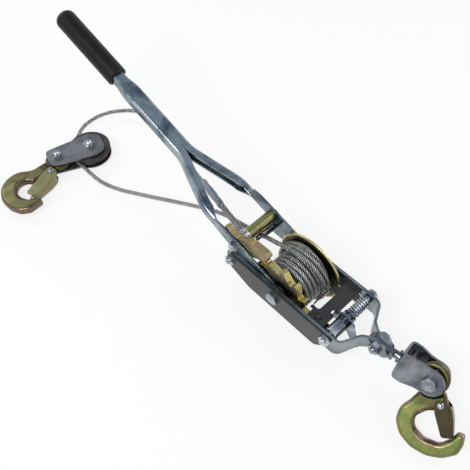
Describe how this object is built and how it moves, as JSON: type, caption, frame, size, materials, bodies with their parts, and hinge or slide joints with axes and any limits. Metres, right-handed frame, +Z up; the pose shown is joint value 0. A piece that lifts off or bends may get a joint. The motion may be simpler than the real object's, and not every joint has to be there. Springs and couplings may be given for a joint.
{
  "type": "come along winch",
  "caption": "Hand ratchet cable puller: forked lever on a channel frame with ratchet drum, wound cable, swivel yoke hook and a snatch block hook.",
  "frame": {"origin": "middle of the footprint of the rigid pieces, at ground level", "axes": "+X from the snatch block towards the rear swivel hook along the frame, +Y along the drum axle from the ratchet side to the far side, +Z up"},
  "size_m": [0.6986, 0.2627, 0.2047],
  "materials": {
    "bright_zinc": "bright bluish zinc plating on pressed steel",
    "dull_zinc": "dull grey zinc plating",
    "yellow_zinc": "yellow passivated zinc plating",
    "olive_zinc": "olive and pink iridescent zinc plating on a forging",
    "black_paint": "satin black paint",
    "cable_steel": "twisted galvanised wire rope",
    "ferrule_aluminium": "pressed grey aluminium",
    "grip_rubber": "moulded black grip"
  },
  "bodies": {
    "frame": {"near_strap": "bright_zinc", "far_strap": "bright_zinc", "near_side_plate": "black_paint", "far_side_plate": "black_paint", "cross_channel": "black_paint", "channel_rivet": "bright_zinc", "axle_bolt": "bright_zinc", "axle_nut": "bright_zinc", "front_bolt": "bright_zinc", "front_nut": "bright_zinc", "rear_bolt": "bright_zinc", "rear_nut": "bright_zinc", "clamp_bolt": "bright_zinc", "clamp_nut": "bright_zinc", "front_spacer_near": "bright_zinc", "front_spacer_far": "bright_zinc", "sleeve_nut": "bright_zinc", "spring_sleeve": "bright_zinc", "holding_spring": "bright_zinc", "swivel_stud": "bright_zinc", "block_lower_plate": "dull_zinc", "block_upper_plate": "dull_zinc", "sheave_bolt": "bright_zinc", "sheave_nut": "bright_zinc", "hook_bolt": "bright_zinc", "hook_nut": "bright_zinc", "cable": "cable_steel", "cable_eye": "cable_steel", "ferrule": "ferrule_aluminium"},
    "handle": {"handle_near_half": "bright_zinc", "handle_far_half": "bright_zinc", "grip": "grip_rubber", "pawl_bolt": "bright_zinc", "pawl_nut": "bright_zinc"},
    "drive_pawl": {"drive_pawl": "yellow_zinc", "drive_spring": "bright_zinc"},
    "drum": {"drum_core": "dull_zinc", "ratchet_wheel": "yellow_zinc", "far_flange": "yellow_zinc", "wound_cable": "cable_steel", "cable_clamp": "black_paint"},
    "holding_pawl": {"holding_pawl": "bright_zinc"},
    "yoke": {"yoke": "bright_zinc", "yoke_bolt": "bright_zinc", "yoke_nut": "bright_zinc"},
    "rear_hook": {"rear_hook": "olive_zinc", "rear_latch_rivet": "bright_zinc"},
    "rear_latch": {"rear_latch": "olive_zinc"},
    "sheave": {"sheave": "dull_zinc"},
    "block_hook": {"block_hook": "olive_zinc", "block_latch_rivet": "bright_zinc"},
    "block_latch": {"block_latch": "olive_zinc"}
  },
  "joints": [
    {"name": "handle_swing", "type": "hinge", "parent": "frame", "child": "handle", "pos_m": [0.08784, 0.07099, 0.0484], "axis": [0, 1, 0], "range_deg": [0, 90]},
    {"name": "drive_pawl_lift", "type": "hinge", "parent": "handle", "child": "drive_pawl", "pos_m": [0.01368, 0.07099, 0.07321], "axis": [0, -1, 0], "range_deg": [-5, 18]},
    {"name": "drum_spin", "type": "hinge", "parent": "frame", "child": "drum", "pos_m": [0.08784, 0.07099, 0.0484], "axis": [0, 1, 0], "continuous": true, "deforming": ["cable"]},
    {"name": "holding_pawl_lift", "type": "hinge", "parent": "frame", "child": "holding_pawl", "pos_m": [0.16944, 0.07099, 0.0562], "axis": [0, -1, 0], "range_deg": [-6.6, 11]},
    {"name": "yoke_swivel", "type": "hinge", "parent": "frame", "child": "yoke", "pos_m": [0.24253, 0.07509, 0.0554], "axis": [0.989, 0.1478, 0], "continuous": true},
    {"name": "rear_hook_hinge", "type": "hinge", "parent": "yoke", "child": "rear_hook", "pos_m": [0.28209, 0.08101, 0.0554], "axis": [-0.128, 0.8565, -0.5], "range_deg": [-110, 4]},
    {"name": "rear_latch_hinge", "type": "hinge", "parent": "rear_hook", "child": "rear_latch", "pos_m": [0.30549, 0.06917, 0.04222], "axis": [-0.097, 0.6489, -0.7547], "range_deg": [0, 25], "stiffness_Nm_per_rad": 0.01, "springref_deg": -17.19},
    {"name": "sheave_spin", "type": "hinge", "parent": "frame", "child": "sheave", "pos_m": [-0.28566, 0.02959, 0.0147], "axis": [0, 0, 1], "continuous": true},
    {"name": "block_hook_hinge", "type": "hinge", "parent": "frame", "child": "block_hook", "pos_m": [-0.30106, -0.01681, 0.0147], "axis": [0, 0, 1], "range_deg": [-40, 40]},
    {"name": "block_latch_hinge", "type": "hinge", "parent": "block_hook", "child": "block_latch", "pos_m": [-0.2854, -0.03885, 0.0147], "axis": [0, 0, -1], "range_deg": [0, 25], "stiffness_Nm_per_rad": 0.01, "springref_deg": -17.19}
  ]
}
